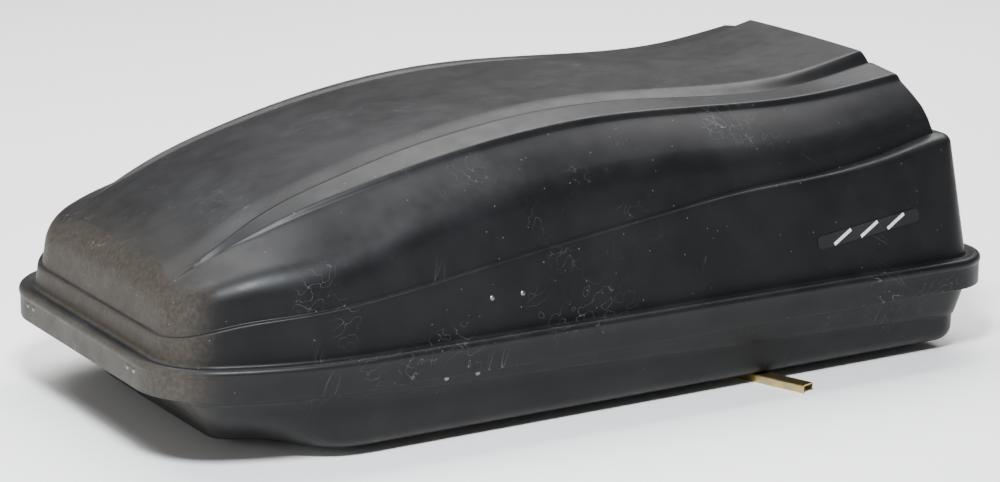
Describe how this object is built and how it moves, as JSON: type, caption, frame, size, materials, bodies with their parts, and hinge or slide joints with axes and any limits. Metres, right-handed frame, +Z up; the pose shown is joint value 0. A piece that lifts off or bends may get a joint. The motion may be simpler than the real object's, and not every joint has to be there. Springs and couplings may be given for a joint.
{
  "type": "roof cargo box",
  "caption": "Hard-shell rooftop cargo box: front-hinged lid with folding stays and rear key locks on a tray with screw-down roof bar clamps.",
  "frame": {"origin": "on the supporting surface under the clamp bars, midway along and across the lip", "axes": "+X to the tall rear end with the locks, -X to the low hinged nose, +Z up"},
  "size_m": [1.706, 0.9766, 0.5573],
  "materials": {
    "shell_plastic": "textured semi-matt black, thermoformed",
    "tray_plastic": "textured semi-matt black, thermoformed",
    "name_plate_plastic": "satin dark grey moulding",
    "rivet_aluminium": "domed blind rivets",
    "hinge_steel": "zinc plated strip steel",
    "pin_steel": "plain steel pins",
    "stay_steel": "zinc plated flat links",
    "lock_chrome": "plated lock face",
    "lock_steel": "zinc plated cam, nut and strike",
    "clamp_zinc": "yellow zinc plated channel",
    "clamp_bolt_steel": "zinc plated bolts and plates",
    "wing_nut_zinc": "zinc plated wing nuts"
  },
  "bodies": {
    "base": {"base_shell": "tray_plastic", "hinge_base_rivets": "rivet_aluminium", "strike_rivets": "rivet_aluminium", "hinge_base_leaf_left": "hinge_steel", "hinge_base_leaf_right": "hinge_steel", "hinge_pin_left": "pin_steel", "hinge_pin_right": "pin_steel", "stay_base_bracket_left": "stay_steel", "stay_base_bracket_right": "stay_steel", "stay_base_pin_left": "pin_steel", "stay_base_pin_right": "pin_steel", "stay_base_rivets_left": "rivet_aluminium", "stay_base_rivets_right": "rivet_aluminium", "lock_strike_left": "lock_steel", "lock_strike_right": "lock_steel", "clamp_plate_front_left": "clamp_bolt_steel", "clamp_plate_front_right": "clamp_bolt_steel", "clamp_plate_rear_left": "clamp_bolt_steel", "clamp_plate_rear_right": "clamp_bolt_steel"},
    "lid": {"lid_shell": "shell_plastic", "hinge_lid_rivets": "rivet_aluminium", "hinge_lid_leaf_left": "hinge_steel", "hinge_lid_leaf_right": "hinge_steel", "stay_lid_bracket_left": "stay_steel", "stay_lid_bracket_right": "stay_steel", "stay_lid_rivets_left": "rivet_aluminium", "stay_lid_rivets_right": "rivet_aluminium", "lock_body_left": "lock_chrome", "lock_body_right": "lock_chrome", "lock_nut_left": "lock_steel", "lock_nut_right": "lock_steel", "name_plate_left": "name_plate_plastic", "name_plate_right": "name_plate_plastic"},
    "stay_lower_right": {"stay_lower_link_right": "stay_steel", "stay_knee_pin_right": "pin_steel"},
    "stay_upper_right": {"stay_upper_link_right": "stay_steel", "stay_lid_stud_right": "pin_steel"},
    "lock_right": {"lock_plug_right": "lock_chrome", "lock_cam_right": "lock_steel"},
    "stay_lower_left": {"stay_lower_link_left": "stay_steel", "stay_knee_pin_left": "pin_steel"},
    "stay_upper_left": {"stay_upper_link_left": "stay_steel", "stay_lid_stud_left": "pin_steel"},
    "lock_left": {"lock_plug_left": "lock_chrome", "lock_cam_left": "lock_steel"},
    "clamp_bolt_front_right": {"clamp_bolt_front_right": "clamp_bolt_steel"},
    "clamp_bar_front_right": {"clamp_bar_front_right": "clamp_zinc"},
    "clamp_wing_nut_front_right": {"clamp_wing_nut_front_right": "wing_nut_zinc"},
    "clamp_bolt_front_left": {"clamp_bolt_front_left": "clamp_bolt_steel"},
    "clamp_bar_front_left": {"clamp_bar_front_left": "clamp_zinc"},
    "clamp_wing_nut_front_left": {"clamp_wing_nut_front_left": "wing_nut_zinc"},
    "clamp_bolt_rear_right": {"clamp_bolt_rear_right": "clamp_bolt_steel"},
    "clamp_bar_rear_right": {"clamp_bar_rear_right": "clamp_zinc"},
    "clamp_wing_nut_rear_right": {"clamp_wing_nut_rear_right": "wing_nut_zinc"},
    "clamp_bolt_rear_left": {"clamp_bolt_rear_left": "clamp_bolt_steel"},
    "clamp_bar_rear_left": {"clamp_bar_rear_left": "clamp_zinc"},
    "clamp_wing_nut_rear_left": {"clamp_wing_nut_rear_left": "wing_nut_zinc"}
  },
  "joints": [
    {"name": "lid_hinge", "type": "hinge", "parent": "base", "child": "lid", "pos_m": [-0.834, 0, 0.13], "axis": [0, -1, 0], "range_deg": [0, 40]},
    {"name": "stay_base_pivot_right", "type": "hinge", "parent": "base", "child": "stay_lower_right", "pos_m": [-0.312, -0.3995, 0.122], "axis": [0, -1, 0], "range_deg": [0, 53.74]},
    {"name": "stay_knee_right", "type": "hinge", "parent": "stay_lower_right", "child": "stay_upper_right", "pos_m": [0.084, -0.3995, 0.23], "axis": [0, -1, 0], "range_deg": [-72.63, 0]},
    {"name": "lock_turn_right", "type": "hinge", "parent": "lid", "child": "lock_right", "pos_m": [0.81598, -0.235, 0.226], "axis": [-0.9877, 0, -0.1564], "range_deg": [0, 90]},
    {"name": "stay_base_pivot_left", "type": "hinge", "parent": "base", "child": "stay_lower_left", "pos_m": [-0.312, 0.3995, 0.122], "axis": [0, -1, 0], "range_deg": [0, 53.74]},
    {"name": "stay_knee_left", "type": "hinge", "parent": "stay_lower_left", "child": "stay_upper_left", "pos_m": [0.084, 0.3995, 0.23], "axis": [0, -1, 0], "range_deg": [-72.63, 0]},
    {"name": "lock_turn_left", "type": "hinge", "parent": "lid", "child": "lock_left", "pos_m": [0.81598, 0.235, 0.226], "axis": [0.9877, 0, 0.1564], "range_deg": [0, 90]},
    {"name": "clamp_drop_front_right", "type": "slide", "parent": "base", "child": "clamp_bolt_front_right", "axis": [0, 0, -1], "range_m": [0, 0.024]},
    {"name": "bar_swivel_front_right", "type": "hinge", "parent": "clamp_bolt_front_right", "child": "clamp_bar_front_right", "pos_m": [-0.43, -0.3, 0.0142], "axis": [0, 0, 1], "continuous": true},
    {"name": "wing_nut_turn_front_right", "type": "hinge", "parent": "base", "child": "clamp_wing_nut_front_right", "pos_m": [-0.43, -0.3, 0.03], "axis": [0, 0, 1], "range_deg": [0, 6922]},
    {"name": "clamp_drop_front_left", "type": "slide", "parent": "base", "child": "clamp_bolt_front_left", "axis": [0, 0, -1], "range_m": [0, 0.024]},
    {"name": "bar_swivel_front_left", "type": "hinge", "parent": "clamp_bolt_front_left", "child": "clamp_bar_front_left", "pos_m": [-0.43, 0.3, 0.0142], "axis": [0, 0, 1], "continuous": true},
    {"name": "wing_nut_turn_front_left", "type": "hinge", "parent": "base", "child": "clamp_wing_nut_front_left", "pos_m": [-0.43, 0.3, 0.03], "axis": [0, 0, 1], "range_deg": [0, 6922]},
    {"name": "clamp_drop_rear_right", "type": "slide", "parent": "base", "child": "clamp_bolt_rear_right", "axis": [0, 0, -1], "range_m": [0, 0.024]},
    {"name": "bar_swivel_rear_right", "type": "hinge", "parent": "clamp_bolt_rear_right", "child": "clamp_bar_rear_right", "pos_m": [0.32, -0.3, 0.0142], "axis": [0, 0, 1], "continuous": true},
    {"name": "wing_nut_turn_rear_right", "type": "hinge", "parent": "base", "child": "clamp_wing_nut_rear_right", "pos_m": [0.32, -0.3, 0.03], "axis": [0, 0, 1], "range_deg": [0, 6922]},
    {"name": "clamp_drop_rear_left", "type": "slide", "parent": "base", "child": "clamp_bolt_rear_left", "axis": [0, 0, -1], "range_m": [0, 0.024]},
    {"name": "bar_swivel_rear_left", "type": "hinge", "parent": "clamp_bolt_rear_left", "child": "clamp_bar_rear_left", "pos_m": [0.32, 0.3, 0.0142], "axis": [0, 0, 1], "continuous": true},
    {"name": "wing_nut_turn_rear_left", "type": "hinge", "parent": "base", "child": "clamp_wing_nut_rear_left", "pos_m": [0.32, 0.3, 0.03], "axis": [0, 0, 1], "range_deg": [0, 6922]}
  ],
  "couplings": [
    {"joint": "stay_base_pivot_right", "follows": "lid_hinge", "ratio": 1.3309},
    {"joint": "stay_knee_right", "follows": "lid_hinge", "ratio": -1.8033},
    {"joint": "stay_base_pivot_left", "follows": "lid_hinge", "ratio": 1.3309},
    {"joint": "stay_knee_left", "follows": "lid_hinge", "ratio": -1.8033},
    {"joint": "wing_nut_turn_front_right", "follows": "clamp_drop_front_right", "rad_per_m": 5026.5},
    {"joint": "wing_nut_turn_front_left", "follows": "clamp_drop_front_left", "rad_per_m": 5026.5},
    {"joint": "wing_nut_turn_rear_right", "follows": "clamp_drop_rear_right", "rad_per_m": 5026.5},
    {"joint": "wing_nut_turn_rear_left", "follows": "clamp_drop_rear_left", "rad_per_m": 5026.5}
  ]
}
